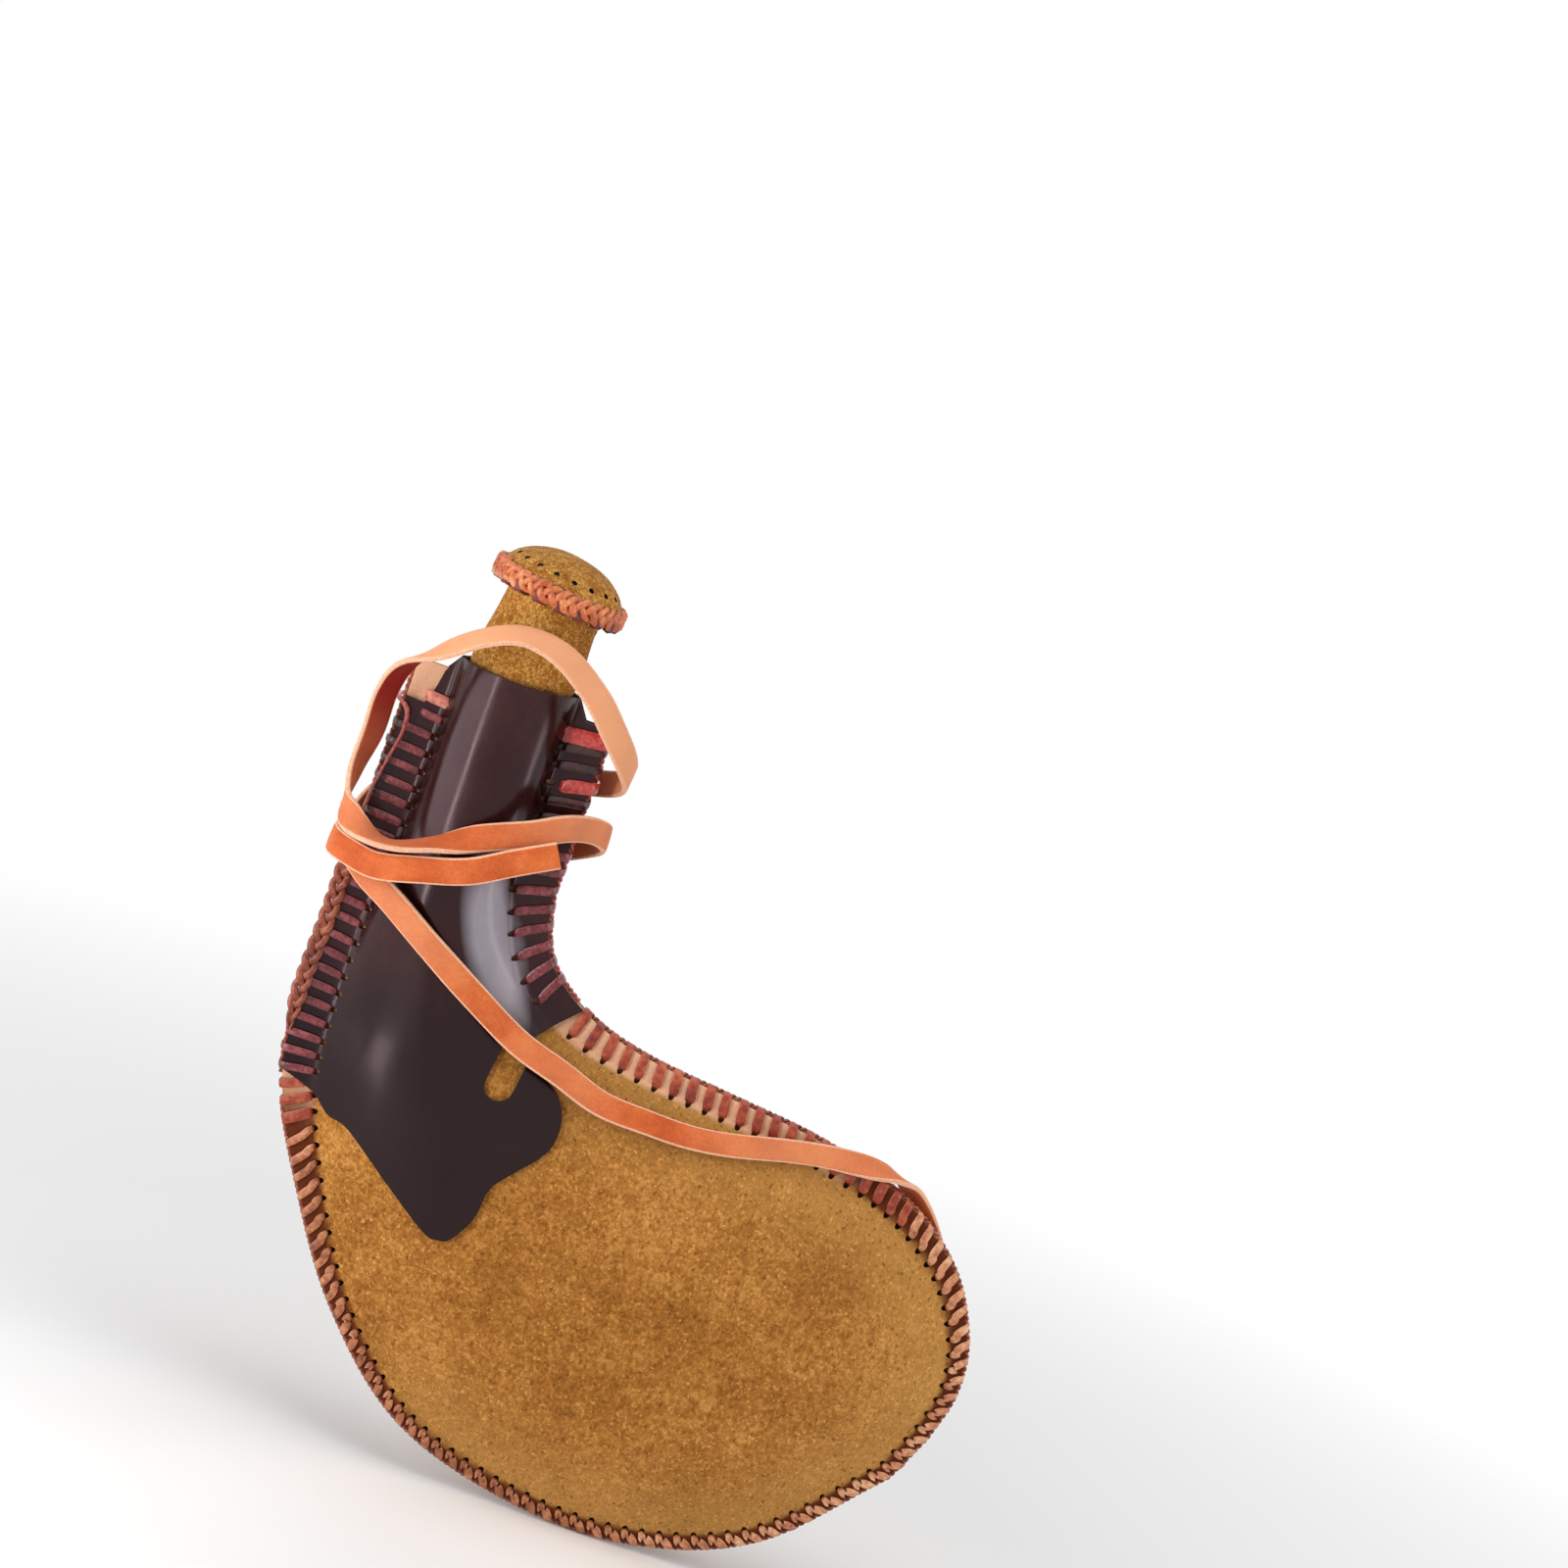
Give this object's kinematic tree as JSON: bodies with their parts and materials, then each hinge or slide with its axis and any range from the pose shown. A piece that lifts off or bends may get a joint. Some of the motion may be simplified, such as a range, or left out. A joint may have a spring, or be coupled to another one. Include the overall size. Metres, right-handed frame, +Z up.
{
  "type": "bota bag",
  "caption": "Curved leather wine skin: two suede panels laced round the rim, a sleeved neck with a pull-out stopper under a laced cap, and a flat carrying strap wound round the neck.",
  "frame": {"origin": "on the neck's axis at its foot, where a hand holds the bag, 150 mm below the mouth", "axes": "+Z up the neck's axis to the mouth and stopper; +X towards the body's far end; the front, with the slotted flap, faces -Y; the laced seam lies in the plane y = 0"},
  "size_m": [0.2497, 0.0537, 0.2994],
  "materials": {
    "suede": "ochre suede",
    "stopper_suede": "yellow ochre suede",
    "smooth_leather": "glossy black-brown smooth leather",
    "neck_lace": "maroon lace",
    "rim_lace": "brick red lace",
    "cap_lace": "orange-pink lace",
    "strap": "orange split leather",
    "liner": "plain latex",
    "mouth_plastic": "off-white",
    "wood": "plain"
  },
  "bodies": {
    "bag": {"body_front_panel": "suede", "body_back_panel": "suede", "neck_sleeve_front": "smooth_leather", "neck_sleeve_back": "smooth_leather", "bladder": "liner", "neck_tube": "mouth_plastic", "neck_lace_right": "neck_lace", "neck_lace_left": "neck_lace", "rim_lace": "rim_lace", "lace_tail": "neck_lace", "strap": "strap"},
    "stopper": {"stopper_core": "wood", "stopper_cover": "stopper_suede", "cap_base": "stopper_suede", "cap_dome": "stopper_suede", "cap_lace": "cap_lace"}
  },
  "joints": [
    {"name": "stopper_pull", "type": "slide", "parent": "bag", "child": "stopper", "axis": [0, 0, 1], "range_m": [0, 0.04]}
  ]
}
